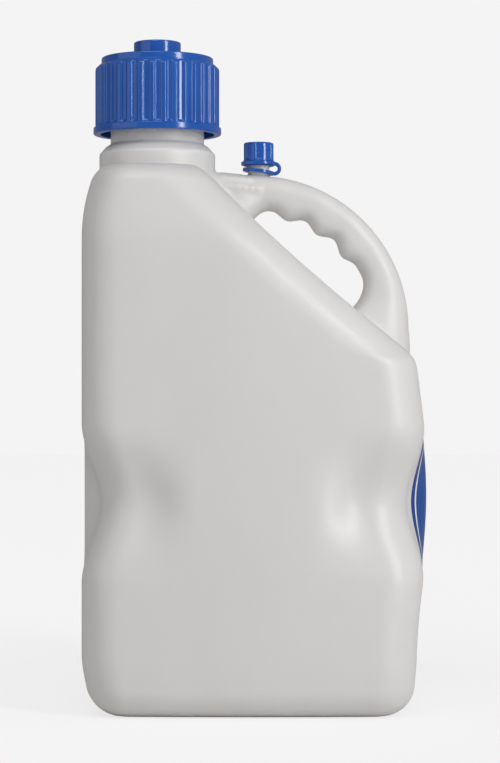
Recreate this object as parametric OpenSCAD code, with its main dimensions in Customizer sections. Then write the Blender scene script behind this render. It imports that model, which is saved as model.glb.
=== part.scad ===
// Square-sided utility jug: one blow-moulded shell with a hollow grip handle, a ribbed screw cap on a wide
// neck, and a small fluted vent cap with a tether on top of the handle.
// Millimetres. The origin is the bottom centre, +X is the handle and label side, -X is the neck side.

/* [Body] */
// Width from the back wall to the fullest point of the label wall
body_w = 271.5; // [262:0.5:282]
// Depth from side to side
body_d = 236; // [220:1:250]
// Height of the flat top behind the neck
top_z = 426; // [400:1:450]
// Thickness of the moulded wall
wall = 3; // [2:0.1:4]
// Radius of the four upright corners
corner_r = 30; // [24:1:36]
// How far the middle of each side stands proud of its upright edges
crown = 2.75; // [1:0.25:5]
// Radius between the base and the walls
base_r = 22; // [16:1:26]
// How far the back wall draws in towards the base
base_draft_back = 6.4; // [2:0.2:8]
// How far the label wall draws in towards the base
base_draft_front = 2.8; // [1:0.2:6]
// Height over which the base draws in
base_draft_h = 48; // [40:1:60]
// How far the middle of the base is raised
base_lift = 4; // [2:0.5:8]
// Distance from the walls to the raised middle of the base
base_rim = 34; // [30:1:44]
// How far the label wall swells beyond its flat part
belly = 9.75; // [4:0.25:14]
// Height of the fullest point of the label wall
belly_z = 168; // [150:1:180]
// Half the height of the swelling
belly_half = 131; // [110:1:131]

/* [Shoulder] */
// Drop from the flat top to where the sloping shoulder is measured
slope_drop = 5; // [3:0.5:10]
// Distance from the back wall to the sloping shoulder, at that drop
slope_start = 98.5; // [94:0.5:104]
// Run of the shoulder for each millimetre that it falls
slope_run = 0.9426; // [0.9:0.01:1]
// Extra run for each square millimetre of fall, which bows the shoulder
slope_bow = 0.001286; // [0.001:0.0001:0.0016]
// Softness of the bend between the shoulder and the label wall
slope_soft = 7; // [3:1:14]
// Drop from the flat top to the bend below which the sides are upright
lean_drop = 56; // [42:1:76]
// How far each side leans in between the bend and the top
lean = 12; // [6:1:18]
// How far the back wall draws in between the bend and the top rounding
back_draw = 6.5; // [3:0.5:10]
// Height of the rounding along the top edges
top_round_z = 14; // [10:1:18]
// Depth of that rounding over the two sides
top_round_y = 20; // [14:1:26]
// Depth of that rounding over the back wall
top_round_x = 8; // [5:1:12]

/* [Corner pinches] */
// Height of the middle of the pinches
pinch_z = 164; // [150:1:180]
// Half the height of a pinch
pinch_half = 62; // [50:1:75]
// How far the corners of the back wall are pushed in along the width
pinch_back = 14.2; // [8:0.2:20]
// How far the corners of the label wall are pushed in along the width
pinch_front = 16.8; // [8:0.2:20]
// How far all four corners are pushed in along the depth
pinch_y = 14; // [8:1:18]
// Length of a pinch's run-out along the two sides, past the rounded corner
pinch_side = 62; // [50:1:70]
// Length of a pinch's run-out along the back and label walls, past the rounded corner
pinch_wall = 50; // [42:1:60]

/* [Neck] */
// Distance from the back wall to the axis of the neck
neck_set = 56.5; // [54:0.5:60]
// Outer radius of the threaded neck
neck_r = 37.75; // [34:0.25:38]
// Height of the neck's lip above the flat top
neck_h = 85.5; // [82:0.5:90]
// Outer radius of the collar at the foot of the neck
collar_r = 46.85; // [44:0.25:49]
// Height of the collar's straight side above the flat top
collar_h = 13; // [10:1:16]
// Rise of the collar's rounded shoulder
collar_round = 9; // [6:0.5:10]
// Thickness of the neck wall
neck_wall = 3.5; // [3:0.25:5]

/* [Handle] */
// Outer radius of the grip's bow
grip_r = 124; // [121:0.5:126]
// Drop from the flat top to the centre of the bow
grip_drop = 126; // [124:0.5:128]
// Radius of the grip's inner side, midway between the finger bumps and the valleys
grip_in_r = 93.8; // [91:0.2:97]
// Width of the grip
grip_w = 37; // [30:1:42]
// Height of the finger bumps above and below that radius
finger_h = 2.5; // [1:0.1:4]
// Number of finger bumps
fingers = 3; // [1:1:3]
// Angle between finger bumps
finger_pitch = 16.7; // [15:0.1:17]
// Angle of the first finger valley, from the level of the bow's centre
finger_from = 82; // [80:0.5:84]
// Rise of the grip's top line from the bow to the collar, for each millimetre
grip_rise = 0.108; // [0.05:0.01:0.12]
// How far the grip's inner side runs on into the shell at its two roots
root_sink = 40; // [30:1:46]
// How much the grip widens where it meets the shoulder
root_flare = 5; // [2:0.5:8]
// How far the two ribs at the grip's upper root stand proud of its side
root_rib_h = 2.2; // [1:0.1:3]
// Width of those ribs
root_rib_w = 7; // [5:0.5:8]

/* [Main cap] */
// Height of the cap's lower edge above the collar
cap_gap = 9; // [7:0.5:11]
// Radius of the cap's skirt over its ribs
cap_r = 50.2; // [48:0.2:52]
// Radius of the flange at the skirt's lower edge
flange_r = 51.7; // [50:0.1:54]
// Height of that flange
flange_h = 5.6; // [4:0.2:7]
// Number of grip ribs
ribs = 33; // [24:1:36]
// Depth of the flutes between the ribs
flute_depth = 1.7; // [1:0.1:2]
// Radius of each flute
flute_r = 5; // [4:0.25:6]
// Rounding of the skirt's upper edge
cap_round = 3.2; // [2:0.2:4]
// Thickness of the skirt at its ribs
skirt_wall = 4.2; // [3.8:0.1:4.6]
// Thickness of the threaded sleeve inside the skirt
sleeve_wall = 2.8; // [2.4:0.1:3.2]
// Room between the neck and the sleeve for their threads
thread_room = 3.4; // [3:0.1:3.8]
// Width of the flat ledge between the skirt's rounding and the step on top
step_ledge = 1.8; // [0.6:0.2:4]
// Height of the step
step_h = 6; // [4:0.5:8]
// Radius of the boss in the middle of the cap
boss_r = 19; // [17:0.5:21]
// Height of the boss
boss_h = 13; // [10:0.5:15]
// Wall of the hollow boss
boss_wall = 3; // [2.5:0.1:3.5]
// Radius of the disc let into the boss
disc_r = 15; // [12:0.5:15.2]
// Depth of the disc's seat
disc_seat = 1.5; // [1:0.1:2]
// Height of the disc's dome above the boss
disc_dome = 1; // [0.5:0.1:1.5]
// Thickness of the cap's gasket
gasket_t = 2.5; // [2:0.1:3]

/* [Vent cap] */
// Distance of the vent's axis beyond the bow's centre
vent_x = 2.75; // [1:0.25:5]
// Outer radius of the vent neck
vent_neck_r = 8.8; // [8:0.1:9]
// Radius of the vent's bore
vent_bore_r = 6; // [5:0.1:6.4]
// Height of the vent neck above the grip
vent_neck_h = 22; // [21:0.5:23]
// Radius of the vent cap
vent_cap_r = 12.5; // [12:0.1:13]
// Height of the vent cap
vent_cap_h = 19; // [18:0.5:20]
// Height of the vent cap's lower edge above the grip
vent_cap_gap = 7.8; // [7.4:0.1:8.4]
// Number of flutes round the vent cap
vent_flutes = 8; // [6:1:12]
// Depth of those flutes
vent_flute_depth = 0.9; // [0.5:0.1:1]
// Radius of each of those flutes
vent_flute_r = 3; // [2.5:0.1:4]
// Thickness of the vent seal
vent_seal_t = 1.6; // [1.2:0.1:1.8]
// Clearance between the vent neck and what turns on it
vent_clear = 0.8; // [0.6:0.1:0.9]

/* [Tether] */
// Outer radius of the tether's upper ring
tether_top_r = 14.2; // [13.6:0.1:15]
// Height of the upper ring
tether_top_h = 2.4; // [2:0.1:2.6]
// Outer radius of the tether's lower ring
tether_low_r = 13; // [12:0.1:13.4]
// Thickness of the lower ring and of the strap
tether_t = 2.2; // [1.6:0.1:2.4]
// Depth of the groove that holds the upper ring
ring_hold = 3; // [2.4:0.1:3]
// Tilt of the lower ring, which follows the grip
tether_tilt = 8; // [5:0.5:9]
// Width of the strap
strap_w = 6; // [4:0.5:8]
// How far the strap's loop reaches from the vent's axis
strap_reach = 18.3; // [17.6:0.1:20]

/* [Side label] */
// Half the width of the label round the front wall
label_half_w = 80; // [60:1:90]
// Half the height of the label
label_half_h = 48; // [36:1:52]
// Rounding of the label's corners
label_round = 34; // [20:1:36]
// Height of the label's middle
label_z = 154; // [148:1:160]
// Thickness of the label's film
label_t = 0.3; // [0.2:0.05:0.4]
// Space between the wall and the film's back
label_gap = 0.05; // [0.05:0.05:0.2]

/* [Hidden] */

milk = [0.86, 0.86, 0.84];
cap_blue = [0.05, 0.22, 0.58];
disc_red = [0.75, 0.12, 0.1];
seal_grey = [0.75, 0.76, 0.76];

back_x = -body_w / 2;
front_x = body_w / 2 - belly;
slope_x = back_x + slope_start;
slope_z = top_z - slope_drop;
lean_z = top_z - lean_drop;
half_d = body_d / 2;
neck_x = back_x + neck_set;
collar_z = top_z + collar_h;
neck_foot_z = collar_z + collar_round;
lip_z = top_z + neck_h;
bore_r = neck_r - neck_wall;
cap_z = neck_foot_z + cap_gap;
ceiling_z = lip_z + gasket_t;
step_z = ceiling_z - 1;
boss_z = step_z + step_h;
cap_top = boss_z + boss_h;
sleeve_r = neck_r + thread_room;
grip_z = top_z - grip_drop;
grip_top = grip_z + grip_r;
vent_cap_z = grip_top + vent_cap_gap;
vent_lip = grip_top + vent_neck_h;
// Height of the lips below and above the upper ring's groove
ring_groove = 0.8;
groove_r = tether_top_r - ring_hold;
step_r = cap_r - cap_round - step_ledge;
// Angles of the grip's two ends inside the shell, and of its bore's ends
grip_low = -16;
grip_high = 109;
bore_low = -13;
bore_high = 104;
// Angles where the grip's inner side turns into its lower and upper root, and the pull of each turn
turn_low = 27;
turn_high = 83;
pull_low = 0.075;
pull_high = 0.13;
// Angles where the grip starts to widen into its lower and upper root, and over which it does so
flare_low = 16;
flare_high = 86;
flare_low_run = 16;
flare_high_run = 12;
// Power of the grip's section: 1 is an oval, less is squarer
grip_square = 0.8;
// The two root ribs: X of the end, drop below the grip's top at X = 0, and fall for each millimetre
root_rib_lines = [[-1, 4.8, 0.085], [6, 13, 0.13]];
// Height of the lower ring above the grip
low_ring_gap = 2.9;
// Room round a fit, and how far a cutting shape runs past what it cuts
fit = 0.3;
over = 1;

// Smooth rise from 0 to 1
function ease(t) = let (c = max(0, min(1, t))) c * c * (3 - 2 * c);
// The smaller of two values, with a soft corner of size k where they cross
function soft_min(a, b, k) = (a + b - sqrt((a - b) * (a - b) + k * k)) / 2;
// How far a quarter circle of radius r stands back at height h above its start
function quarter(h, r) = h >= r ? 0 : r - sqrt(max(0, r * r - (r - h) * (r - h)));
function sq(v) = v * v;

// The back wall's middle line
function back(z) = back_x + back_draw * sq(max(0, z - lean_z) / (top_z - top_round_z - lean_z))
    + base_draft_back * ease((base_draft_h - z) / base_draft_h);
// The label wall's middle line, with its belly, and the sloping shoulder above it
function belly_at(z) = let (q = abs(z - belly_z) / belly_half) q < 1 ? belly * sq(cos(90 * q)) : 0;
function front_wall(z) = front_x + belly_at(z) - base_draft_front * ease((base_draft_h - z) / base_draft_h);
function shoulder(z) = let (u = slope_z - z) slope_x + slope_run * u + slope_bow * u * abs(u);
function front(z) = soft_min(front_wall(z), shoulder(z), slope_soft);
// Length along the front line for each millimetre of height
function front_stretch(z) = sqrt(1 + sq(front(z + 0.5) - front(z - 0.5)));
// Half the depth of the shell
function half_depth(z) = half_d - lean * max(0, z - lean_z) / (top_z - lean_z)
    - base_draft_front * ease((base_draft_h - z) / base_draft_h);

// Moves a point of the plain outline at height z: the sides are crowned, and each corner is pushed in
// whole, with a run-out along the two walls beside it
function pinch_at(z) = ease(1 - abs(z - pinch_z) / pinch_half);
function run_out(s, length) = ease(1 - max(0, s - corner_r) / length);
function pinched(x, y, z, x0, x1, d) = let (
    u = (x - (x0 + x1) / 2) / ((x1 - x0) / 2),
    v = y / d,
    g = pinch_at(z) * run_out((1 - abs(u)) * (x1 - x0) / 2, pinch_side) * run_out(d - abs(y), pinch_wall)
) [x - crown * sq(v) * u - g * (u > 0 ? pinch_front : -pinch_back),
   y - crown * sq(u) * v - g * pinch_y * sign(y), z];

// The four edges of the outline at height z, set in by t from the outer skin whose base is at z = foot
function edges(z, t, foot) = let (
    low = quarter(z - foot, base_r - t),
    rise = max(0, z - (top_z - top_round_z)) / (top_round_z - t),
    high = 1 - sqrt(max(0, 1 - sq(min(1, rise)))),
    f = front_stretch(z)
) [back(z) + t + low + top_round_x * high,
   front(z) - t * f - low - top_round_x * high / 2,
   half_depth(z) - t - low - top_round_y * high,
   max(3, corner_r - t - low - 0.5 * top_round_y * high),
   min(2, f)];

// Crowds the points of a side towards its two corners
function crowd(s) = s - 0.05 * sin(360 * s);

// One closed outline at height z: each corner has arc + 1 points and each side has side - 1 more
function outline(z, t, foot, arc, side) = let (
    e = edges(z, t, foot), x0 = e[0], x1 = e[1], d = e[2], r = e[3], rx = [r * e[4], r, r, r * e[4]],
    cx = [x1 - rx[0], x0 + r, x0 + r, x1 - rx[3]], cy = [d - r, d - r, r - d, r - d]
) [for (k = [0:3], i = [0:arc + side - 1])
    let (
        k2 = (k + 1) % 4,
        a = 90 * (k + min(i, arc) / arc),
        s = crowd(max(0, i - arc) / side),
        here = [cx[k] + rx[k] * cos(a), cy[k] + r * sin(a)],
        next = [cx[k2] + rx[k2] * cos(a), cy[k2] + r * sin(a)],
        p = here + (next - here) * s
    ) pinched(p[0], p[1], z, x0, x1, d)];

// Heights of the outlines: close together round the base and the top, even between them
function heights(foot, head, r, round_z, body) = concat(
    [for (a = [0:18:90]) foot + r * (1 - cos(a))],
    [for (i = [1:body]) foot + r + (head - round_z - foot - r) * i / body],
    [for (a = [22.5:22.5:90]) head - round_z + round_z * sin(a)]);

// A closed skin through a list of outlines that have n points each
module skin(rings) {
    n = len(rings[0]);
    m = len(rings);
    polyhedron(
        points = [for (ring = rings) for (p = ring) p],
        faces = concat(
            [[for (i = [0:n - 1]) i]],
            [for (j = [0:m - 2], i = [0:n - 1]) let (a = j * n + i, b = j * n + (i + 1) % n)
                each [[a, a + n, b + n], [a, b + n, b]]],
            [[for (i = [n - 1:-1:0]) (m - 1) * n + i]]),
        convexity = 6);
}

module outer_shell() {
    skin([for (z = heights(0, top_z, base_r, top_round_z, 26)) outline(z, 0, 0, 6, 7)]);
}

module inner_shell() {
    skin([for (z = heights(wall, top_z - wall, base_r - wall, top_round_z - wall, 20))
        outline(z, wall, wall, 4, 6)]);
}

// The raised middle of the base, as a solid h high and set in by t more than the rim
module base_middle(h, t) {
    in = base_rim - t;
    linear_extrude(h) translate([back_x + in, in - half_d])
        offset(corner_r / 2) offset(-corner_r / 2)
            square([body_w - belly - 2 * in, body_d - 2 * in]);
}

// Outer radius of the grip at angle a from the level of the bow's centre: past the top it runs straight
function grip_out(a) = a > 90
    ? grip_r / (cos(a - 90) - grip_rise * sin(a - 90))
    : grip_r + 0.3 * max(0, -a);
// Inner radius: a wave of finger bumps that starts and ends in a valley, and a round turn into each root
function finger(a) = finger_h * cos(360 * max(0, min(fingers, (finger_from - a) / finger_pitch)));
function grip_in(a) = grip_in_r + finger(a)
    - min(root_sink, pull_low * sq(max(0, turn_low - a)) + pull_high * sq(max(0, a - turn_high)));
// Half the grip's width, which grows into its two roots
function grip_half(a) = grip_w / 2
    + root_flare * (ease((flare_low - a) / flare_low_run) + ease((a - flare_high) / flare_high_run));
// The power of a sine or cosine, with its sign kept
function power(v, p) = sign(v) * pow(abs(v), p);

// The grip's section at angle a, a squarish oval of n points set in by t
function grip_ring(a, t, n) = let (
    mid = (grip_out(a) + grip_in(a)) / 2,
    h = (grip_out(a) - grip_in(a)) / 2 - t
) [for (i = [0:n - 1]) let (r = mid + h * power(cos(360 * i / n), grip_square))
        [r * cos(a), (grip_half(a) - t) * power(sin(360 * i / n), grip_square), grip_z + r * sin(a)]];

module grip(t, n, a0, a1) {
    steps = 40;
    skin([for (i = [0:steps]) grip_ring(a0 + (a1 - a0) * i / steps, t, n)]);
}

// Depth of the grip's side at the point x, z
function grip_side(x, z) = let (
    a = atan2(z - grip_z, x), mid = (grip_out(a) + grip_in(a)) / 2, h = (grip_out(a) - grip_in(a)) / 2,
    c = pow(min(1, abs(norm([x, z - grip_z]) - mid) / h), 1 / grip_square)
) grip_half(a) * pow(1 - c * c, grip_square / 2);

// Two ribs on the grip's side at its upper root, which run out of the collar and end rounded
module root_ribs() {
    steps = 8;
    start = neck_x + collar_r - 6;
    sunk = 3;
    for (line = root_rib_lines)
        skin([for (i = [0:steps]) let (
            end = line[0],
            x = start + (end - start) * i / steps,
            z = grip_top - line[1] - line[2] * x,
            k = sqrt(max(0.03, 1 - sq(max(0, (x - end) / root_rib_w + 1))))
        ) [for (b = [0:30:330]) [
            x,
            grip_side(x, z) - sunk + k * (root_rib_h + sunk) * cos(b),
            z + k * root_rib_w / 2 * sin(b)]]]);
}

module neck_outside() {
    translate([neck_x, 0, 0]) rotate_extrude($fn = 60) polygon(concat(
        [[0, top_z - 5 * wall], [collar_r, top_z - 5 * wall], [collar_r, collar_z]],
        [for (a = [30:30:90]) [neck_r + (collar_r - neck_r) * cos(a), collar_z + collar_round * sin(a)]],
        [[neck_r, lip_z - 1], [neck_r - 1, lip_z], [0, lip_z]]));
}

module neck_inside() {
    step = neck_r - bore_r;
    translate([neck_x, 0, 0]) rotate_extrude($fn = 60) polygon(concat(
        [[0, top_z - 3 * wall], [collar_r - wall, top_z - 3 * wall], [collar_r - wall, collar_z]],
        [for (a = [30:30:90]) [bore_r + (collar_r - wall - bore_r) * cos(a),
            collar_z + (collar_round - step) * sin(a)]],
        [[bore_r, lip_z + over], [0, lip_z + over]]));
}

// One hollow moulding, made as a single skin
module jug_body() {
    color(milk) resize([0, 0, 0]) difference() {
        union() {
            outer_shell();
            grip(0, 16, grip_low, grip_high);
            for (side = [0, 1]) mirror([0, side, 0]) root_ribs();
            neck_outside();
            translate([vent_x, 0, grip_top - 2 * wall])
                cylinder(r = vent_neck_r, h = vent_neck_h + 2 * wall, $fn = 40);
        }
        difference() {
            inner_shell();
            translate([0, 0, -over]) base_middle(base_lift + wall + over, wall);
        }
        grip(wall, 12, bore_low, bore_high);
        neck_inside();
        translate([vent_x, 0, grip_top - 3 * wall])
            cylinder(r = vent_bore_r, h = vent_neck_h + 4 * wall, $fn = 40);
        translate([0, 0, -over]) base_middle(base_lift + over, 0);
    }
}

// Screw cap: ribbed skirt, threaded sleeve, stepped top and hollow boss, turned from one profile
module main_cap() {
    skirt_r = cap_r - skirt_wall;
    boss_in = boss_r - boss_wall;
    seat_z = cap_top - disc_seat;
    flute_z = cap_z + flange_h + 0.4;
    color(cap_blue) translate([neck_x, 0, 0]) difference() {
        rotate_extrude($fn = 128) polygon([
            [skirt_r, cap_z], [flange_r - 1, cap_z], [flange_r, cap_z + 1],
            [flange_r, cap_z + flange_h - 1], [flange_r - 1, cap_z + flange_h],
            [cap_r, cap_z + flange_h], [cap_r, step_z - cap_round],
            [cap_r - cap_round * 0.3, step_z - cap_round * 0.3], [cap_r - cap_round, step_z],
            [step_r, step_z], [step_r, boss_z - 1], [step_r - 1, boss_z],
            [boss_r, boss_z], [boss_r, cap_top - 1.5], [boss_r - 0.5, cap_top - 0.5],
            [boss_r - 1.5, cap_top], [disc_r + fit, cap_top],
            [disc_r + fit, seat_z], [0, seat_z], [0, seat_z - boss_wall], [boss_in, seat_z - boss_wall],
            [boss_in, ceiling_z], [sleeve_r, ceiling_z], [sleeve_r, cap_z + flange_h],
            [sleeve_r + sleeve_wall, cap_z + flange_h], [sleeve_r + sleeve_wall, ceiling_z],
            [skirt_r, ceiling_z]]);
        for (i = [0:ribs - 1]) rotate(360 * i / ribs)
            translate([cap_r + flute_r - flute_depth, 0, flute_z])
                cylinder(r = flute_r, h = step_z + over - flute_z, $fn = 32);
    }
}

module port_disc() {
    color(disc_red) translate([neck_x, 0, cap_top - disc_seat]) rotate_extrude($fn = 64) polygon(concat(
        [[0, 0], [disc_r, 0]],
        [for (a = [0:15:90]) [disc_r * cos(a), disc_seat - 0.3 + (disc_dome + 0.3) * sin(a)]]));
}

module cap_gasket() {
    color(seal_grey) translate([neck_x, 0, lip_z]) difference() {
        cylinder(r = sleeve_r - fit, h = gasket_t, $fn = 96);
        translate([0, 0, -over]) cylinder(r = bore_r, h = gasket_t + 2 * over, $fn = 96);
    }
}

// Small fluted cap with a groove that holds the tether's upper ring
module vent_cap() {
    inner = vent_neck_r + vent_clear;
    color(cap_blue) translate([vent_x, 0, vent_cap_z]) difference() {
        rotate_extrude($fn = 64) polygon([
            [0, 0], [vent_cap_r - 0.3, 0], [vent_cap_r - 0.3, ring_groove], [groove_r, ring_groove],
            [groove_r, ring_groove + tether_top_h + fit], [vent_cap_r, ring_groove + tether_top_h + fit],
            [vent_cap_r, vent_cap_h - 2], [vent_cap_r - 0.6, vent_cap_h - 0.6],
            [vent_cap_r - 2, vent_cap_h], [0, vent_cap_h]]);
        for (i = [0:vent_flutes - 1]) rotate(360 * (i + 0.5) / vent_flutes)
            translate([vent_cap_r + vent_flute_r - vent_flute_depth, 0, ring_groove + tether_top_h + 2])
                cylinder(r = vent_flute_r, h = vent_cap_h, $fn = 24);
        translate([0, 0, -over])
            cylinder(r = inner, h = vent_lip + vent_seal_t - vent_cap_z + over, $fn = 64);
    }
}

module vent_seal() {
    color(seal_grey) translate([vent_x, 0, vent_lip])
        cylinder(r = vent_neck_r + vent_clear - fit, h = vent_seal_t, $fn = 64);
}

// Upper ring in the cap's groove, lower ring round the vent neck, and the strap's loop between them
module vent_tether() {
    top0 = vent_cap_z + ring_groove + fit / 2;
    low0 = grip_top + low_ring_gap;
    low_end = low0 - (tether_low_r - 1) * sin(tether_tilt);
    loop_r = (top0 + tether_t - low_end) / 2;
    color(cap_blue) translate([vent_x, 0, 0]) {
        difference() {
            union() {
                translate([0, 0, top0]) cylinder(r = tether_top_r, h = tether_top_h, $fn = 64);
                translate([strap_reach - loop_r, 0, low_end + loop_r]) rotate([90, 0, 0])
                    linear_extrude(strap_w, center = true) difference() {
                        union() {
                            circle(loop_r, $fn = 40);
                            translate([-loop_r, loop_r - tether_t]) square([loop_r, tether_t]);
                        }
                        circle(loop_r - tether_t, $fn = 40);
                        translate([-2 * loop_r, -2 * loop_r]) square([2 * loop_r, 3 * loop_r - tether_t]);
                    }
            }
            translate([0, 0, top0 - over])
                cylinder(r = groove_r + fit, h = tether_top_h + 2 * over, $fn = 64);
        }
        translate([0, 0, low0]) rotate([0, tether_tilt, 0]) difference() {
            union() {
                cylinder(r = tether_low_r, h = tether_t, $fn = 64);
                translate([0, -strap_w / 2, 0]) cube([strap_reach - loop_r + 0.6, strap_w, tether_t]);
            }
            translate([0, 0, -over]) cylinder(r = vent_neck_r + 0.4, h = tether_t + 2 * over, $fn = 64);
        }
    }
}

// Thin printed film that follows the label wall, with rounded ends
module side_label() {
    color(cap_blue) resize([0, 0, 0]) difference() {
        intersection() {
            translate([label_gap + label_t, 0, 0]) outer_shell();
            translate([0, 0, label_z]) rotate([90, 0, 90]) linear_extrude(body_w)
                offset(label_round, $fn = 32)
                    square(2 * [label_half_w - label_round, label_half_h - label_round], center = true);
        }
        translate([label_gap, 0, 0]) outer_shell();
    }
}

jug_body();
main_cap();
port_disc();
cap_gasket();
vent_cap();
vent_seal();
vent_tether();
side_label();
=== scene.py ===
import math

import bmesh
import bpy
import numpy as np
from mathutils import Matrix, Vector
from mathutils.kdtree import KDTree


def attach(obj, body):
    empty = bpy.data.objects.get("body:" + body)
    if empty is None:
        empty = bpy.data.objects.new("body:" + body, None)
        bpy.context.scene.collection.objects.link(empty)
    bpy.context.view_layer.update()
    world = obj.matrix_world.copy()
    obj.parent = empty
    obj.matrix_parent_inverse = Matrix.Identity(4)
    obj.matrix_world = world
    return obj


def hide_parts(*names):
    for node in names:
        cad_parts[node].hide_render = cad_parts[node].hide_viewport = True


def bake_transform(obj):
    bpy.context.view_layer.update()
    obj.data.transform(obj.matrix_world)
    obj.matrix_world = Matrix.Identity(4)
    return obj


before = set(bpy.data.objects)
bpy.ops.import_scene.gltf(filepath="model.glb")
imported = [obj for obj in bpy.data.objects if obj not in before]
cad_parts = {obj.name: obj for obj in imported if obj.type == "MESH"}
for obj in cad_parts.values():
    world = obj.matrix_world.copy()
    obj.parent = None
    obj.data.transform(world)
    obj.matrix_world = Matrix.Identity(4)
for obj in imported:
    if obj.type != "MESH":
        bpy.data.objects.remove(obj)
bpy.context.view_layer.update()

# JUG BODY
# One blow-moulded shell of milky polyethylene: square body, collar and threaded neck, hollow grip and vent
# neck. The mould closes on the plane Y = 0 and leaves a fine seam there; the corners are pinched in at mid height.

MM = 0.001
body_w, body_d, top_z, wall = 271.5, 236.0, 426.0, 3.0
corner_r, crown, base_r = 30.0, 2.75, 22.0
base_draft_back, base_draft_front, base_draft_h = 6.4, 2.8, 48.0
base_lift, base_rim = 4.0, 34.0
belly, belly_z, belly_half = 9.75, 168.0, 131.0
slope_z, slope_start, slope_run, slope_bow, slope_soft = 421.0, 98.5, 0.9426, 0.001286, 7.0
lean_z, lean, lean_soft, back_draw = 370.0, 12.0, 9.0, 6.5
top_round_z, top_round_y, top_round_x = 14.0, 20.0, 8.0
pinch_z, pinch_half, pinch_back, pinch_front, pinch_y = 164.0, 62.0, 14.2, 16.8, 14.0
pinch_side, pinch_wall = 62.0, 50.0
least_corner_r, most_stretch = 3.0, 2.0
skin_inside = 0.1
back_x, front_x, half_d = skin_inside - body_w / 2, body_w / 2 - belly - skin_inside, body_d / 2


def ease(t):
    """Smooth rise from 0 to 1: 3t^2 - 2t^3 between its ends."""
    c = np.clip(t, 0, 1)
    return c * c * (3 - 2 * c)


def quarter(h, r):
    """How far a quarter circle of radius r stands back at height h above its start."""
    return np.where(h >= r, 0, r - np.sqrt(np.maximum(0, r * r - (r - h) ** 2)))


def bend(z, start, soft):
    """z - start above start and 0 below, rounded over the length soft."""
    return (z - start + np.sqrt((z - start) ** 2 + soft * soft)) / 2


def base_draft(z):
    """How far the base has drawn in at height z, from 0 to 1."""
    return ease((base_draft_h - z) / base_draft_h)


def back_line(z):
    """X of the back wall: upright, drawn in by a parabola towards the top and by a soft step at the base."""
    high = np.maximum(0, z - lean_z) / (top_z - top_round_z - lean_z)
    return back_x + back_draw * high**2 + base_draft_back * base_draft(z)


def front_line(z):
    """X of the label wall with its cosine-squared belly, softly cut by the shoulder, a parabola of the drop."""
    q = np.clip(np.abs(z - belly_z) / belly_half, 0, 1)
    upright = front_x + belly * np.cos(math.pi / 2 * q) ** 2 - base_draft_front * base_draft(z)
    u = slope_z - z
    slope = back_x + slope_start + slope_run * u + slope_bow * u * np.abs(u)
    return (upright + slope - np.sqrt((upright - slope) ** 2 + slope_soft**2)) / 2


def side_line(z):
    """Half the depth: upright sides that lean in above a soft bend."""
    return half_d - lean * bend(z, lean_z, lean_soft) / (top_z - lean_z) - base_draft_front * base_draft(z)


def outline_edges(z, inset, foot):
    """Back, front, half depth, corner radius and corner stretch of the outline at height z, set in by inset."""
    low = quarter(z - foot, base_r - inset)
    rise = np.clip((z - (top_z - top_round_z)) / (top_round_z - inset), 0, 1)
    high = 1 - np.sqrt(1 - rise**2)
    stretch = np.sqrt(1 + (front_line(z + 0.5) - front_line(z - 0.5)) ** 2)
    return (
        back_line(z) + inset + low + top_round_x * high,
        front_line(z) - inset * stretch - low - top_round_x * high / 2,
        side_line(z) - inset - low - top_round_y * high,
        np.maximum(least_corner_r, corner_r - inset - low - 0.5 * top_round_y * high),
        np.minimum(most_stretch, stretch),
    )


def pinched(x, y, z, x0, x1, d):
    """Crowns the four sides by a parabola and pushes each rounded corner in whole, run out along both walls."""
    u, v = (2 * x - x0 - x1) / (x1 - x0), y / d
    beside = ease(1 - np.maximum(0, (1 - np.abs(u)) * (x1 - x0) / 2 - corner_r) / pinch_side)
    across = ease(1 - np.maximum(0, d - np.abs(y) - corner_r) / pinch_wall)
    g = ease(1 - np.abs(z - pinch_z) / pinch_half) * beside * across
    return np.stack([
        x - crown * v * v * u - g * np.where(u > 0, pinch_front, -pinch_back),
        y - crown * u * u * v - g * pinch_y * np.sign(y), z + 0 * x], axis=-1)


arc_share, side_slack = 0.4, 0.05


def outline(s, z, inset=0.0, foot=0.0):
    """Point of the shell at s (0 to 4 corners round) and height z: per corner an elliptic arc, then a side.

    The arc takes arc_share of each step in s, and the side's points crowd towards its ends by side_slack.
    """
    s, z = np.meshgrid(s, z)
    x0, x1, d, r, stretch = outline_edges(z, inset, foot)
    k, t = np.floor(s).astype(int) % 4, s % 1
    arc = np.clip(t / arc_share, 0, 1) * math.pi / 2 + k * math.pi / 2
    along = np.clip((t - arc_share) / (1 - arc_share), 0, 1)
    along = along - side_slack * np.sin(2 * math.pi * along)
    rx = np.where((k == 0) | (k == 3), r * stretch, r)
    rx_next = np.where((k == 3) | (k == 2), r * stretch, r)
    cx = np.where((k == 0) | (k == 3), x1 - rx, x0 + r)
    cx_next = np.where((k == 3) | (k == 2), x1 - rx_next, x0 + r)
    cy = np.where(k < 2, d - r, r - d)
    cy_next = np.where((k == 3) | (k == 0), d - r, r - d)
    here = np.stack([cx + rx * np.cos(arc), cy + r * np.sin(arc)])
    there = np.stack([cx_next + rx_next * np.cos(arc), cy_next + r * np.sin(arc)])
    x, y = here + (there - here) * along
    return pinched(x, y, z, x0, x1, d)


def levels(foot, head, round_z, r, count):
    """Heights of the outlines: even in angle round the base and top, even in height between them."""
    turn = np.linspace(0, math.pi / 2, 13)
    return np.concatenate([
        foot + r * (1 - np.cos(turn)),
        np.linspace(foot + r, head - round_z, count + 1)[1:],
        head - round_z + round_z * np.sin(turn[1:]),
    ])


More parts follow.
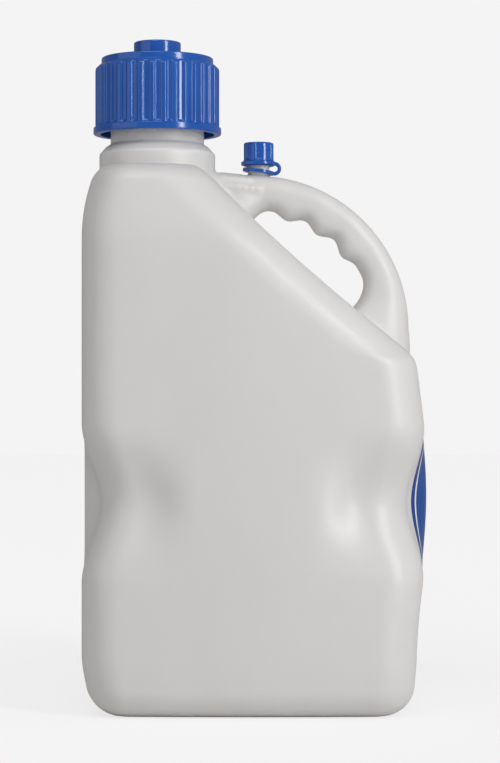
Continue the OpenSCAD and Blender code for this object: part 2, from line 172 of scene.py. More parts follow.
def grid_mesh(name, points, closed_v=False):
    """A mesh through a grid of points in millimetres: rows run round, and the two end rows are capped."""
    rows, n = points.shape[:2]
    i = np.arange(n)
    j = np.arange(rows if closed_v else rows - 1)[:, None]
    a, b = j * n + i, j * n + (i + 1) % n
    c, d = ((j + 1) % rows) * n + (i + 1) % n, ((j + 1) % rows) * n + i
    faces = np.stack([a, b, c, d], axis=-1).reshape(-1, 4).tolist()
    if not closed_v:
        faces += [i[::-1].tolist(), ((rows - 1) * n + i).tolist()]
    mesh = bpy.data.meshes.new(name)
    mesh.from_pydata((points.reshape(-1, 3) * MM).tolist(), [], faces)
    mesh.update()
    obj = bpy.data.objects.new(name, mesh)
    bpy.context.scene.collection.objects.link(obj)
    return obj


def outwards(obj):
    """Turns a closed mesh's faces to point outwards, after its doubles are merged."""
    bm = bmesh.new()
    bm.from_mesh(obj.data)
    bmesh.ops.remove_doubles(bm, verts=bm.verts, dist=1e-6)
    bmesh.ops.recalc_face_normals(bm, faces=bm.faces)
    bm.to_mesh(obj.data)
    bm.free()
    return obj


def combine(base, tool, kind):
    """Joins or cuts base with tool, and removes tool."""
    cut = base.modifiers.new(kind, "BOOLEAN")
    cut.operation, cut.solver, cut.object = kind, "EXACT", tool
    bpy.context.view_layer.objects.active = base
    bpy.ops.object.modifier_apply(modifier=cut.name)
    bpy.data.objects.remove(tool)


neck_x, neck_r, lip_z, neck_wall = 56.5 - body_w / 2, 37.75, 511.5, 3.5
collar_r, collar_z, collar_round = 46.85, top_z + 13, 9.0
thread_crest, thread_lead, thread_from, thread_to = 2.6, 8.0, 470.0, 506.0
grip_r, grip_z, grip_in_r, grip_w, grip_rise = 124.0, 300.0, 93.8, 37.0, 0.108
finger_h, fingers, finger_pitch, finger_from = 2.5, 3, 16.7, 82.0
turn_low, turn_high, root_sink, root_flare = 27.0, 83.0, 40.0, 5.0
root_curl_low, root_curl_high, grip_square = 0.075, 0.13, 0.8
grip_top = grip_z + grip_r
vent_x, vent_neck_r, vent_bore_r, vent_lip = 2.75, 8.8, 6.0, grip_top + 22
vent_lead, vent_crest = 3.0, 0.5


def helix(theta, z, lead, start, end):
    """A rounded thread ridge, 0 to 1: a cosine bump once per lead up the axis, faded in and out at its ends."""
    phase = ((z - start) / lead - theta / (2 * math.pi)) % 1
    bump = ease(1 - np.abs(phase - 0.5) / 0.34)
    return bump * ease((z - start) / lead) * ease((end - z) / (0.6 * lead))


def turned(name, profile, centre_x, columns, relief=None):
    """A profile of (radius, height) points turned about the upright axis at centre_x.

    relief(theta, radius, height) gives what is added to the radius. The profile starts and ends on the axis.
    """
    theta = np.arange(columns) * 2 * math.pi / columns
    t, r = np.meshgrid(theta, profile[:, 0])
    z = np.broadcast_to(profile[:, 1][:, None], r.shape)
    if relief is not None:
        r = r + relief(t, r, z)
    return grid_mesh(name, np.stack([centre_x + r * np.cos(t), r * np.sin(t), z], axis=-1))


def rounded(corners, spacing=1.2):
    """Profile through (radius, height, rounding) corners, each turned into an arc, with points at a spacing."""
    p = np.array(corners, float)
    out = [p[0, :2]]
    for before, here, after in zip(p[:-2], p[1:-1], p[2:]):
        a, b = before[:2] - here[:2], after[:2] - here[:2]
        la, lb = np.hypot(*a), np.hypot(*b)
        half = math.acos(np.clip(a @ b / (la * lb), -1, 1)) / 2
        cut = min(here[2] / math.tan(half), 0.49 * la, 0.49 * lb) if here[2] > 0 else 0
        if cut < 0.02 or half > 1.5:
            out.append(here[:2])
            continue
        start, end = here[:2] + a / la * cut, here[:2] + b / lb * cut
        w = np.linspace(0, 1, 7)[:, None]
        out.extend((1 - w) ** 2 * start + 2 * w * (1 - w) * here[:2] + w**2 * end)
    out.append(p[-1, :2])
    full = [out[0]]
    for q in out[1:]:
        n = max(1, int(np.hypot(*(q - full[-1])) / spacing))
        full.extend(full[-1] + (q - full[-1]) * np.arange(1, n + 1)[:, None] / n)
    return np.array(full)


root_ribs = ((422.2, 0.13, 0), (415.0, 0.12, 7))
rib_half_h, rib_out, rib_fade = 2.6, 3.0, 5.0


def grip_section(a, b, inset):
    """Point of the grip at angle a along its bow and b round its section, a superellipse set in by inset.

    Outside, two low ribs run on from the collar along each flank: (height, slope, end along X) each.
    """
    deg = np.degrees(a)
    past = np.radians(np.maximum(0, deg - 90))
    outer = grip_r / (np.cos(past) - grip_rise * np.sin(past)) + 0.3 * np.maximum(0, -deg) - inset
    wave = finger_h * np.cos(2 * math.pi * np.clip((finger_from - deg) / finger_pitch, 0, fingers))
    into_roots = (root_curl_low * np.maximum(0, turn_low - deg) ** 2
                  + root_curl_high * np.maximum(0, deg - turn_high) ** 2)
    inner = grip_in_r + wave - np.minimum(root_sink, into_roots) + inset
    width = grip_w / 2 + root_flare * (ease((16 - deg) / 16) + ease((deg - 86) / 12)) - inset
    c, s = np.cos(b), np.sin(b)
    r = (outer + inner) / 2 + (outer - inner) / 2 * np.sign(c) * np.abs(c) ** grip_square
    y = width * np.sign(s) * np.abs(s) ** grip_square
    x, z = r * np.cos(a), grip_z + r * np.sin(a)
    if inset == 0:
        flat = ease((np.abs(y) / width - 0.4) / 0.3)
        for at, drop, x_end in root_ribs:
            line = at - drop * (x + 20)
            rib = np.exp(-((z - line) / rib_half_h) ** 2) * ease((x_end - x) / rib_fade)
            y = y + np.sign(s) * rib_out * rib * flat
    return np.stack([x, y, z], axis=-1)


def grip_tube(name, inset, a0, a1, rows, n):
    """The grip swept from angle a0 to a1, in degrees from the level of the bow's centre."""
    b, a = np.meshgrid(np.arange(n) * 2 * math.pi / n, np.radians(np.linspace(a0, a1, rows)))
    return outwards(grid_mesh(name, grip_section(a, b, inset)))


def tube(name, r, z0, z1, x, columns, relief=None):
    """A closed upright round bar of radius r from z0 to z1."""
    z = np.linspace(z0, z1, max(3, int((z1 - z0) / 0.5)) if relief else 3)
    profile = np.concatenate([[[0.01, z0]], np.stack([np.full(len(z), r), z], axis=1), [[0.01, z1]]])
    return outwards(turned(name, profile, x, columns, relief))


base_square = 0.25


def base_middle(name, height, grow):
    """The raised middle of the base as a rounded square bar, grown by grow, its edge drafted."""
    n, inset = 160, base_rim - grow
    t = np.arange(n) * 2 * math.pi / n
    hx, hy = (body_w - belly) / 2 - inset, half_d - inset
    c, s = np.cos(t), np.sin(t)
    x = np.sign(c) * np.abs(c) ** base_square * hx - belly / 2
    ring = np.stack([x, np.sign(s) * np.abs(s) ** base_square * hy], axis=1)
    rows = []
    for z, shrink in ((-5.0, 0.0), (0.0, 0.0), (height * 0.5, 0.6), (height * 0.85, 2.0), (height, 5.0)):
        flat = ring * (1 - shrink / hx)
        rows.append(np.concatenate([flat, np.full((n, 1), z)], axis=1))
    return outwards(grid_mesh(name, np.array(rows)))


def soften(obj, known, reach, rounds):
    """Rounds the line where parts were joined: vertices near it are averaged with their neighbours."""
    me = obj.data
    co = np.empty(len(me.vertices) * 3)
    me.vertices.foreach_get("co", co)
    co = co.reshape(-1, 3)
    seam = [i for i, p in enumerate(np.round(co, 6)) if tuple(p) not in known]
    tree = KDTree(len(seam))
    for k, i in enumerate(seam):
        tree.insert(co[i], k)
    tree.balance()
    near = np.array([tree.find(p)[2] for p in co])
    weight = ease(1 - near / reach)
    edges = np.empty(len(me.edges) * 2, int)
    me.edges.foreach_get("vertices", edges)
    edges = edges.reshape(-1, 2)
    for _ in range(rounds):
        total, count = np.zeros_like(co), np.zeros(len(co))
        for a, b in ((0, 1), (1, 0)):
            np.add.at(total, edges[:, a], co[edges[:, b]])
            np.add.at(count, edges[:, a], 1)
        co = co + (total / count[:, None] - co) * (0.5 * weight)[:, None]
    me.vertices.foreach_set("co", co.ravel())
    me.update()


def shade(obj, degrees):
    """Shades a piece smooth, with an edge kept sharp where its faces meet at more than the angle."""
    obj.data.shade_smooth()
    obj.data.set_sharp_from_angle(angle=math.radians(degrees))


around = np.arange(0, 4, 1 / 52)
jug = outwards(grid_mesh("jug_shell", outline(around, levels(0, top_z, top_round_z, base_r, 150))))
grip = grip_tube("grip_outside", 0.0, -16, 109, 260, 56)
neck_profile = rounded([
    (0.01, top_z - 15, 0), (collar_r, top_z - 15, 0), (collar_r, collar_z + 2, 4),
    (neck_r + 3.5, collar_z + collar_round - 1, 5),
    (neck_r, collar_z + collar_round + 1, 2), (neck_r, 462, 0), (neck_r, lip_z, 0.9), (0.01, lip_z, 0)], 1.0)
neck = outwards(turned("neck_outside", neck_profile, neck_x, 168, lambda t, r, z: np.where(
    np.abs(r - neck_r) < 0.05, thread_crest * helix(t, z, thread_lead, thread_from, thread_to), 0)))
spout = tube(
    "vent_outside", vent_neck_r, grip_top - 6, vent_lip, vent_x, 64,
    lambda t, r, z: np.where(r > 1, vent_crest * helix(t, z, vent_lead, grip_top + 11, vent_lip - 1), 0))
known = set()
for part in (jug, grip, neck, spout):
    known |= {tuple(np.round(v.co, 6)) for v in part.data.vertices}
for part in (neck, grip, spout):
    combine(jug, part, "UNION")
soften(jug, known, 0.006, 30)

cavity = outwards(grid_mesh("cavity", outline(
    np.arange(0, 4, 1 / 26), levels(wall, top_z - wall, top_round_z - wall, base_r - wall, 70), wall, wall)))
combine(cavity, base_middle("floor_inside", base_lift + wall, wall), "DIFFERENCE")
bore = rounded([
    (0.01, top_z - 9, 0), (collar_r - wall, top_z - 9, 0), (collar_r - wall, collar_z, 4),
    (neck_r - neck_wall, collar_z + collar_round - neck_wall, 4), (neck_r - neck_wall, lip_z + 2, 0),
    (0.01, lip_z + 2, 0)], 2.5)
for part in (grip_tube("grip_inside", wall, -13, 104, 100, 28),
             outwards(turned("neck_inside", bore, neck_x, 96)),
             tube("vent_inside", vent_bore_r, grip_top - 9, vent_lip + 3, vent_x, 32)):
    combine(cavity, part, "UNION")
combine(jug, cavity, "DIFFERENCE")
combine(jug, base_middle("base_hollow", base_lift, 0.0), "DIFFERENCE")
jug.name = "moulded_jug"


def material(name):
    """A new material, its node tree and its Principled shader."""
    m = bpy.data.materials.new(name)
    m.use_nodes = True
    tree = m.node_tree
    return m, tree, tree.nodes["Principled BSDF"]


def node(tree, kind, inputs=(), **settings):
    """Adds a node, sets its properties, and sets or links its inputs by name."""
    n = tree.nodes.new(kind)
    for key, value in settings.items():
        setattr(n, key, value)
    for key, value in dict(inputs).items():
        if isinstance(value, bpy.types.NodeSocket):
            tree.links.new(value, n.inputs[key])
        else:
            n.inputs[key].default_value = value
    return n


def noise(tree, scale, detail=3.0, stretch=(1, 1, 1)):
    """Noise on the piece's own coordinates, in cycles per metre, stretched along its axes."""
    where = node(tree, "ShaderNodeTexCoord").outputs["Object"]
    turn = node(tree, "ShaderNodeMapping", {"Vector": where, "Scale": stretch})
    grain = node(tree, "ShaderNodeTexNoise", {"Vector": turn.outputs[0], "Scale": scale, "Detail": detail})
    return grain.outputs["Fac"]


def tones(tree, factor, low, high, a=0.3, b=0.7):
    """A colour that runs from low to high as the factor goes from a to b."""
    ramp = node(tree, "ShaderNodeValToRGB", {"Fac": factor})
    ramp.color_ramp.elements[0].position, ramp.color_ramp.elements[1].position = a, b
    ramp.color_ramp.elements[0].color, ramp.color_ramp.elements[1].color = (*low, 1), (*high, 1)
    return ramp.outputs["Color"]


def moulded(tree, shader, parts):
    """Sums height maps, each (factor, metres of relief), into the shader's normal."""
    normal = None
    for factor, depth in parts:
        inputs = {"Height": factor, "Distance": depth, "Strength": 1.0}
        if normal is not None:
            inputs["Normal"] = normal
        normal = node(tree, "ShaderNodeBump", inputs).outputs["Normal"]
    tree.links.new(normal, shader.inputs["Normal"])


seam_half, seam_relief, flow_relief, grain_relief = 0.0007, 0.00025, 0.0012, 0.00003


def milk_plastic():
    """Natural polyethylene: milky, a little warm, satin, with faint flow streaks and a fine mould grain."""
    m, tree, shader = material("natural_polyethylene")
    cloud = noise(tree, 9, 4, (1, 1, 0.35))
    tree.links.new(tones(tree, cloud, (0.72, 0.705, 0.685), (0.75, 0.74, 0.725)), shader.inputs["Base Color"])
    rough = node(tree, "ShaderNodeMapRange", {"Value": noise(tree, 60, 3), "To Min": 0.34, "To Max": 0.42})
    tree.links.new(rough.outputs["Result"], shader.inputs["Roughness"])
    shader.inputs["Subsurface Weight"].default_value = 0.4
    shader.inputs["Subsurface Radius"].default_value = (1.0, 0.97, 0.9)
    shader.inputs["Subsurface Scale"].default_value = 0.012
    shader.inputs["IOR"].default_value = 1.5
    place = node(tree, "ShaderNodeSeparateXYZ", {"Vector": node(tree, "ShaderNodeTexCoord").outputs["Object"]})
    off = node(tree, "ShaderNodeMath", {0: place.outputs["Y"]}, operation="ABSOLUTE").outputs[0]
    seam = node(tree, "ShaderNodeMapRange", {"Value": off, "From Max": seam_half, "To Min": 1.0, "To Max": 0.0})
    moulded(tree, shader, [
        (noise(tree, 14, 2), flow_relief), (noise(tree, 900, 2), grain_relief),
        (seam.outputs["Result"], seam_relief)])
    return m


jug.data.materials.clear()
jug.data.materials.append(milk_plastic())
shade(jug, 50)
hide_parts("jug_body")
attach(jug, "jug")

# MAIN CAP
# One injection-moulded screw cap in glossy blue polypropylene: flange, ribbed skirt, stepped top and hollow
# boss. Inside the skirt a second, threaded sleeve winds down the neck, with an open gap between the two.

cap_z, cap_r, flange_r, flange_h = collar_z + collar_round + 9, 50.2, 51.7, 5.6
ribs, flute_depth, cap_round = 33, 1.7, 3.2
sleeve_r, sleeve_wall, skirt_r = neck_r + 3.4, 2.8, cap_r - 4.2
step_r, step_h, boss_r, boss_h, boss_wall = 45.2, 6.0, 19.0, 13.0, 3.0
disc_r, disc_seat, gasket_t, fit = 15.0, 1.5, 2.5, 0.3
ceiling_z = lip_z + gasket_t
step_z = ceiling_z - 1
boss_z = step_z + step_h
cap_top = boss_z + boss_h
seat_z, skirt_foot = cap_top - disc_seat, cap_z + flange_h


def cap_relief(theta, r, z):
    """Flutes cut the skirt back to a wavy radius; on the sleeve's inner wall a thread stands inwards."""
    wave = ease(0.5 + 0.95 * np.cos(ribs * theta))
    limit = cap_r - flute_depth * wave * ease((z - skirt_foot - 0.2) / 1.2)
    on_skirt = (r > skirt_r + 0.5) & (z > skirt_foot + 0.1) & (z < step_z + 0.05)
    cut = np.where(on_skirt, np.minimum(0, limit - r), 0)
    on_sleeve = (np.abs(r - sleeve_r) < 0.05) & (z < ceiling_z - 1)
    mate = helix(theta, z, thread_lead, thread_from - 0.5 * thread_lead, thread_to)
    return cut - np.where(on_sleeve, thread_crest * mate, 0)


cap_profile = rounded([
    (0.01, seat_z, 0), (disc_r + fit, seat_z, 0.2), (disc_r + fit, cap_top, 0.4), (boss_r, cap_top, 1.6),
    (boss_r, boss_z, 0.7), (step_r, boss_z, 1.4), (step_r, step_z, 0.5), (cap_r - cap_round, step_z, 1.2),
    (cap_r, step_z - cap_round, 3.0), (cap_r, skirt_foot, 0.4), (flange_r, skirt_foot, 1.2),
    (flange_r, cap_z, 1.4), (skirt_r, cap_z, 0.8), (skirt_r, ceiling_z, 0.6),
    (sleeve_r + sleeve_wall, ceiling_z, 0.6), (sleeve_r + sleeve_wall, skirt_foot, 0.5),
    (sleeve_r, skirt_foot, 0.5), (sleeve_r, ceiling_z, 0), (boss_r - boss_wall, ceiling_z, 0.5),
    (boss_r - boss_wall, seat_z - boss_wall, 0.6), (0.01, seat_z - boss_wall, 0)], 1.3)
screw_cap = outwards(turned("screw_cap", cap_profile, neck_x, ribs * 12, cap_relief))
shade(screw_cap, 55)


def blue_plastic():
    """Glossy pigmented polypropylene: deep blue, faintly uneven, with moulding ripple and fine scuffs."""
    m, tree, shader = material("blue_polypropylene")
    cloud = noise(tree, 22, 4)
    tree.links.new(tones(tree, cloud, (0.004, 0.075, 0.38), (0.007, 0.1, 0.44)), shader.inputs["Base Color"])
    rough = node(tree, "ShaderNodeMapRange", {"Value": noise(tree, 160, 4), "To Min": 0.11, "To Max": 0.2})
    tree.links.new(rough.outputs["Result"], shader.inputs["Roughness"])
    shader.inputs["IOR"].default_value = 1.6
    moulded(tree, shader, [(noise(tree, 45, 2), 0.0003), (noise(tree, 700, 3), 0.00002)])
    return m


blue = blue_plastic()
screw_cap.data.materials.append(blue)
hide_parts("main_cap")
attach(screw_cap, "cap")

# CAP DISC
# A thin domed disc of red polypropylene, pressed into the seat on top of the boss, where a spout can be fitted.

disc_dome = 1.0
swell = np.radians(np.linspace(0, 88, 14))
disc_profile = np.concatenate([
    [[0.01, seat_z], [disc_r - 0.3, seat_z], [disc_r, seat_z + 0.3]],
    np.stack([disc_r * np.cos(swell), cap_top - 0.3 + (disc_dome + 0.3) * np.sin(swell)], axis=1),
    [[0.01, cap_top + disc_dome]]])
red_disc = outwards(turned("cap_disc", disc_profile, neck_x, 96))
shade(red_disc, 45)
red, tree, shader = material("red_polypropylene")
pigment = tones(tree, noise(tree, 60, 3), (0.5, 0.03, 0.03), (0.58, 0.045, 0.04))
tree.links.new(pigment, shader.inputs["Base Color"])
rough = node(tree, "ShaderNodeMapRange", {"Value": noise(tree, 200, 3), "To Min": 0.25, "To Max": 0.4})
tree.links.new(rough.outputs["Result"], shader.inputs["Roughness"])
moulded(tree, shader, [(noise(tree, 500, 2), 0.00003)])
red_disc.data.materials.append(red)
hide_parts("port_disc")
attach(red_disc, "cap")

# SEALS
# A flat foam ring between the neck's lip and the cap's ceiling, and a foam disc in the vent cap.
# They are the frame's own solids, in pale closed-cell foam.

foam, tree, shader = material("closed_cell_foam")
cells = node(tree, "ShaderNodeTexVoronoi", {
    "Vector": node(tree, "ShaderNodeTexCoord").outputs["Object"], "Scale": 1400.0}).outputs["Distance"]
tree.links.new(tones(tree, cells, (0.5, 0.5, 0.49), (0.66, 0.66, 0.64), 0.0, 0.6), shader.inputs["Base Color"])
shader.inputs["Roughness"].default_value = 0.85
moulded(tree, shader, [(cells, 0.0002)])
for name in ("cap_gasket", "vent_seal"):
    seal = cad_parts[name]
    for place in seal.material_slots:
        place.material = foam

# VENT CAP
# A small fluted screw cap in the same blue plastic; a groove above its foot holds the tether's upper ring.

vent_cap_z, vent_cap_h, vent_cap_r = grip_top + 7.8, 19.0, 12.5
vent_flutes, vent_flute_depth, vent_clear = 8, 0.9, 0.8
tether_top_r, tether_top_h, ring_groove, vent_seal_t = 14.2, 2.9, 0.5, 1.6
groove_r, groove_top = tether_top_r - 3, vent_cap_z + ring_groove + tether_top_h + fit
vent_cap_top = vent_cap_z + vent_cap_h
vent_inner, vent_ceiling = vent_neck_r + vent_clear, vent_lip + vent_seal_t


def vent_relief(theta, r, z):
    """Broad flutes round the side, cut back to a wavy radius between the foot and the rounded top."""
    wave = ease(0.5 + 0.75 * np.cos(vent_flutes * theta))
    limit = vent_cap_r - vent_flute_depth * wave * ease((z - groove_top - 0.8) / 1.2)
    side = (r > vent_inner + 0.5) & (z > groove_top + 0.2)
    on_bore = (np.abs(r - vent_inner) < 0.02) & (z < vent_ceiling - 0.5)
    mate = helix(theta, z, vent_lead, grip_top + 11 - 0.5 * vent_lead, vent_lip - 0.5)
    return np.where(side, np.minimum(0, limit - r), 0) - np.where(on_bore, 0.5 * mate, 0)


vent_profile = rounded([
    (0.01, vent_cap_top, 0), (vent_cap_r, vent_cap_top, 2.4), (vent_cap_r, groove_top, 0.3),
    (groove_r, groove_top, 0.2), (groove_r, vent_cap_z + ring_groove, 0.2),
    (vent_cap_r - 0.3, vent_cap_z + ring_groove, 0.3), (vent_cap_r - 0.3, vent_cap_z, 0.3),
    (vent_inner, vent_cap_z, 0.4), (vent_inner, vent_ceiling, 0), (0.01, vent_ceiling, 0)], 0.45)
small_cap = outwards(turned("vent_screw_cap", vent_profile, vent_x, vent_flutes * 26, vent_relief))
shade(small_cap, 50)
small_cap.data.materials.append(blue)
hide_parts("vent_cap")
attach(small_cap, "vent")

# TETHER
# One soft moulding in the same blue: a ring in the vent cap's groove, a ring round the vent neck and a strap
# that loops between them on the handle side.

tether_low_r, tether_t, strap_w, strap_reach = 13.0, 2.9, 6.0, 18.3
tether_tilt = math.radians(8)
ring_z, low_z = vent_cap_z + ring_groove + fit / 2, grip_top + 2.1


def flat_ring(name, r_in, r_out, z, height, tilt):
    """A ring with a rounded-rectangle section, tilted about Y through its own centre."""
    u, v = np.meshgrid(np.arange(96) * 2 * math.pi / 96, np.arange(28) * 2 * math.pi / 28)
    half_w, half_h = (r_out - r_in) / 2, height / 2
    c, s = np.cos(v), np.sin(v)
    r = (r_in + r_out) / 2 + half_w * np.sign(c) * np.abs(c) ** 0.4
    up = half_h * np.sign(s) * np.abs(s) ** 0.4
    x, y = r * np.cos(u), r * np.sin(u)
    return outwards(grid_mesh(name, np.stack([
        vent_x + x * math.cos(tilt) + up * math.sin(tilt), y,
        z + half_h + up * math.cos(tilt) - x * math.sin(tilt)], axis=-1).transpose(1, 0, 2), True))


def strap(name):
    """A flat band with rounded edges, carried along a straight run, a half turn and a straight run back."""
    top = ring_z + tether_top_h * 0.5
    low = low_z + tether_t / 2 - (tether_low_r - 1) * math.sin(tether_tilt)
    r = (top - low) / 2
    centre = np.array([vent_x + strap_reach - r - tether_t / 2, (top + low) / 2])
    turn = np.linspace(math.pi / 2, -math.pi / 2, 28)
    arc = centre + r * np.stack([np.cos(turn), np.sin(turn)], axis=1)
    upper = np.array([[vent_x + tether_top_r - 2, top]])
    lower = np.array([[vent_x + tether_low_r - 2.5, low + 0.25]])
    path = np.concatenate([upper, arc, lower])
    way = np.gradient(path, axis=0)
    way /= np.linalg.norm(way, axis=1)[:, None]
    across = np.stack([-way[:, 1], way[:, 0]], axis=1)
    b = np.arange(28) * 2 * math.pi / 28
    c, s = np.cos(b), np.sin(b)
    thick = tether_t / 2 * np.sign(s) * np.abs(s) ** 0.5
    wide = strap_w / 2 * np.sign(c) * np.abs(c) ** 0.35
    x = path[:, None, 0] + across[:, None, 0] * thick
    z = path[:, None, 1] + across[:, None, 1] * thick
    return outwards(grid_mesh(name, np.stack([x, np.broadcast_to(wide, x.shape), z], axis=-1)))


tether = flat_ring("tether_strap", groove_r + fit, tether_top_r, ring_z, tether_top_h, 0.0)
combine(tether, flat_ring("lower_ring", vent_neck_r + 0.4, tether_low_r, low_z, tether_t, tether_tilt), "UNION")
combine(tether, strap("strap_loop"), "UNION")
shade(tether, 55)
tether.data.materials.append(blue)
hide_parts("vent_tether")
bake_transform(tether)

# SIDE LABEL
# A thin printed film pressed on the label wall, which it follows into the pinches: a plain blue field inside a
# cream keyline and a darker border, with a generic drop in the middle.

label_half_w, label_half_h, label_z, label_square = 72.0, 52.5, 160.5, 6.0
label_lift, label_t = 0.08, 0.15


def label_point(y, z, lift):
    """The label wall's skin at height z and, before pinching, at y across it, moved out by lift."""
    x0, x1, d, r, stretch = outline_edges(z, 0, 0)
    past = np.maximum(0, np.abs(y) - (d - r))
    x = x1 - r * stretch + stretch * np.sqrt(np.maximum(0, r * r - past * past))
    return pinched(x, y, z, x0, x1, d) + np.array([lift, 0, 0])


turn = np.arange(180) * 2 * math.pi / 180
share, turn = np.meshgrid(np.linspace(0.01, 1, 40), turn, indexing="ij")
reach = share * (np.abs(np.cos(turn) / label_half_w) ** label_square
                 + np.abs(np.sin(turn) / label_half_h) ** label_square) ** (-1 / label_square)
film_y, film_z = reach * np.cos(turn), label_z + reach * np.sin(turn)
film = grid_mesh("label_film", np.concatenate([
    label_point(film_y, film_z, label_lift), label_point(film_y, film_z, label_lift + label_t)[::-1]]))
flat_place = np.stack([film_y, film_z - label_z, share], axis=-1)
printed = film.data.attributes.new("printed", "FLOAT_VECTOR", "POINT")
printed.data.foreach_set("vector", np.concatenate([flat_place, flat_place[::-1]]).ravel())
outwards(film)
shade(film, 60)
print_film, tree, shader = material("printed_film")
parts = node(tree, "ShaderNodeSeparateXYZ", {
    "Vector": node(tree, "ShaderNodeAttribute", attribute_name="printed").outputs["Vector"]})


def maths(operation, *values):
    """One Math node in the material at hand, with its inputs set or linked in order."""
    n = tree.nodes.new("ShaderNodeMath")
    n.operation = operation
    for place, value in zip(n.inputs, values):
        if isinstance(value, bpy.types.NodeSocket):
            tree.links.new(value, place)
        else:
            place.default_value = value
    return n.outputs[0]


def below(value, at, soft):
    """1 below the value at, 0 above it, with a soft step."""
    return maths("SUBTRACT", 1.0, maths("MINIMUM", 1.0, maths(
        "MAXIMUM", 0.0, maths("DIVIDE", maths("SUBTRACT", value, at), soft))))


def printed_over(under, factor, colour):
    """The colour under, with another printed over it where the factor is 1."""
    coat = node(tree, "ShaderNodeMix", {"Factor": factor}, data_type="RGBA")
    tree.links.new(under, coat.inputs["A"])
    coat.inputs["B"].default_value = (*colour, 1)
    return coat.outputs["Result"]


field_blue, border_blue, cream = (0.008, 0.07, 0.31), (0.009, 0.045, 0.25), (0.8, 0.78, 0.7)
key_from, key_to, key_soft = 0.885, 0.915, 0.004
drop_r, drop_soft, drop_taper, drop_stretch = 17.0, 0.4, 0.055, 0.8
across, up, from_middle = parts.outputs["X"], parts.outputs["Y"], parts.outputs["Z"]
narrow = maths("MULTIPLY", across, maths("ADD", 1.0, maths("MAXIMUM", 0.0, maths("MULTIPLY", up, drop_taper))))
tall = maths("MULTIPLY", up, drop_stretch)
drop = maths("SQRT", maths("ADD", maths("POWER", narrow, 2.0), maths("POWER", tall, 2.0)))
ink = tones(tree, noise(tree, 120, 2), [0.94 * v for v in field_blue], field_blue)
ink = printed_over(ink, below(drop, drop_r, drop_soft), cream)
ink = printed_over(ink, maths("SUBTRACT", 1.0, below(from_middle, key_from, key_soft)), cream)
ink = printed_over(ink, maths("SUBTRACT", 1.0, below(from_middle, key_to, key_soft)), border_blue)
tree.links.new(ink, shader.inputs["Base Color"])
rough = node(tree, "ShaderNodeMapRange", {"Value": noise(tree, 90, 3), "To Min": 0.28, "To Max": 0.4})
tree.links.new(rough.outputs["Result"], shader.inputs["Roughness"])
moulded(tree, shader, [(noise(tree, 500, 2), 0.00002)])
film.data.materials.append(print_film)
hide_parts("side_label")
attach(film, "jug")

# STUDIO
# A pale floor and backdrop that meet without a line, a tall narrow lamp at the front right, a soft one above, a
# weak fill from the front left, and a level camera at the jug's side. Light falls off from right to left.

floor_reach, backdrop, backdrop_level = 6.0, (0.93, 0.92, 0.925), 0.98
floor_colour, floor_shadow_colour = (0.8, 0.79, 0.78), (0.24, 0.24, 0.24)
far_glow, lamp_pool, pool_place, pool_scale = 0.897, 0.125, (-0.3, 0.4, 0), (1.1, 1.1, 1.1)
sky_left, sky_right = 0.24, 0.34
floor_mesh = bpy.data.meshes.new("floor")
corners = [(-floor_reach, -floor_reach, 0), (floor_reach, -floor_reach, 0)]
corners += [(floor_reach, floor_reach, 0), (-floor_reach, floor_reach, 0)]
floor_mesh.from_pydata(corners, [], [(0, 1, 2, 3)])
floor = bpy.data.objects.new("floor", floor_mesh)
bpy.context.scene.collection.objects.link(floor)
floor_paint, tree, shader = material("pale_floor")
seen = node(tree, "ShaderNodeLightPath").outputs["Is Camera Ray"]
paint = node(tree, "ShaderNodeMix", {"Factor": seen}, data_type="RGBA")
paint.inputs["A"].default_value, paint.inputs["B"].default_value = (*floor_colour, 1), (*floor_shadow_colour, 1)
spot = node(tree, "ShaderNodeMapping", {
    "Vector": node(tree, "ShaderNodeTexCoord").outputs["Object"], "Location": pool_place, "Scale": pool_scale})
far = node(tree, "ShaderNodeVectorMath", {0: spot.outputs[0]}, operation="LENGTH").outputs["Value"]
pool = maths("DIVIDE", lamp_pool, maths("ADD", maths("POWER", far, 2.0), 1.0))
tree.links.new(paint.outputs["Result"], shader.inputs["Base Color"])
tree.links.new(maths("MULTIPLY", seen, maths("SUBTRACT", far_glow, pool)), shader.inputs["Emission Strength"])
shader.inputs["Emission Color"].default_value = (*backdrop, 1)
shader.inputs["Roughness"].default_value = 1.0
shader.inputs["Specular IOR Level"].default_value = 0.0
floor_mesh.materials.append(floor_paint)

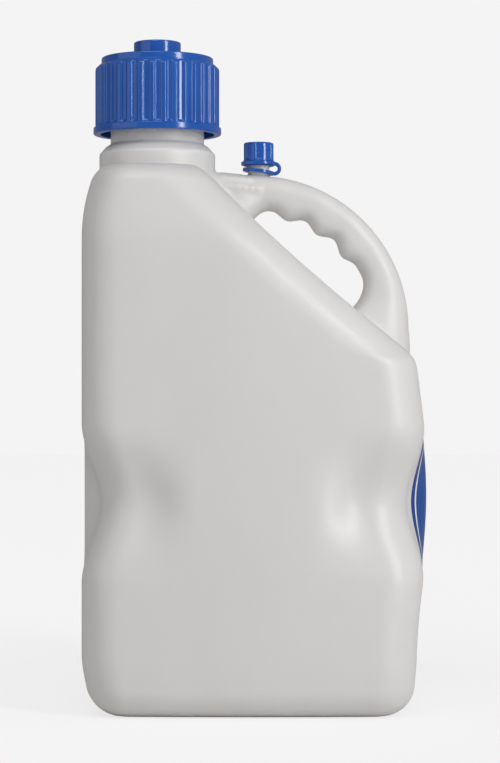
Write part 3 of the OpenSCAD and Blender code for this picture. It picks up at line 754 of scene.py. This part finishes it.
world = bpy.data.worlds.new("studio")
bpy.context.scene.world = world
world.use_nodes = True
tree = world.node_tree
sky = tree.nodes["Background"]
sky.inputs["Color"].default_value = (*backdrop, 1)
seen = node(tree, "ShaderNodeLightPath").outputs["Is Camera Ray"]
way = node(tree, "ShaderNodeSeparateXYZ", {"Vector": node(tree, "ShaderNodeTexCoord").outputs["Generated"]})
side = node(tree, "ShaderNodeMapRange", {
    "Value": way.outputs["X"], "From Min": -1.0, "From Max": 1.0, "To Min": sky_left, "To Max": sky_right})
level = node(tree, "ShaderNodeMapRange", {"Value": seen, "To Min": side.outputs[0], "To Max": backdrop_level})
tree.links.new(level.outputs["Result"], sky.inputs["Strength"])


def softbox(name, turn, rise, distance, size, watts):
    """A soft rectangle of light (width, height) aimed at the jug, turned right of the camera and raised.

    turn and rise are in degrees, distance and size in metres.
    """
    light = bpy.data.lights.new(name, "AREA")
    light.shape, light.size, light.size_y, light.energy = "RECTANGLE", size[0], size[1], watts
    lamp = bpy.data.objects.new(name, light)
    turn, rise, aim = math.radians(turn), math.radians(rise), Vector((0, 0, 0.25))
    out = Vector((math.sin(turn) * math.cos(rise), -math.cos(turn) * math.cos(rise), math.sin(rise)))
    lamp.location = aim + distance * out
    lamp.rotation_euler = out.to_track_quat("Z", "Y").to_euler()
    bpy.context.scene.collection.objects.link(lamp)


softbox("strip", 45, 20, 2.2, (0.4, 1.9), 26)
softbox("top", -15, 55, 2.2, (1.2, 1.2), 11)
softbox("fill", -60, 8, 2.4, (2.2, 2.0), 8)

camera_distance, camera_height, camera_x = 1.8, 0.2576, -0.00425
metres_per_pixel, picture_h, sensor_h = 0.00081, 763, 36
camera = bpy.data.cameras.new("camera")
camera.sensor_fit, camera.sensor_height = "VERTICAL", sensor_h
camera.lens = sensor_h * camera_distance / (metres_per_pixel * picture_h)
viewer = bpy.data.objects.new("camera", camera)
viewer.location = (camera_x, -camera_distance, camera_height)
viewer.rotation_euler = (math.pi / 2, 0, 0)
bpy.context.scene.collection.objects.link(viewer)
bpy.context.scene.camera = viewer
bpy.context.scene.view_settings.view_transform = "Standard"
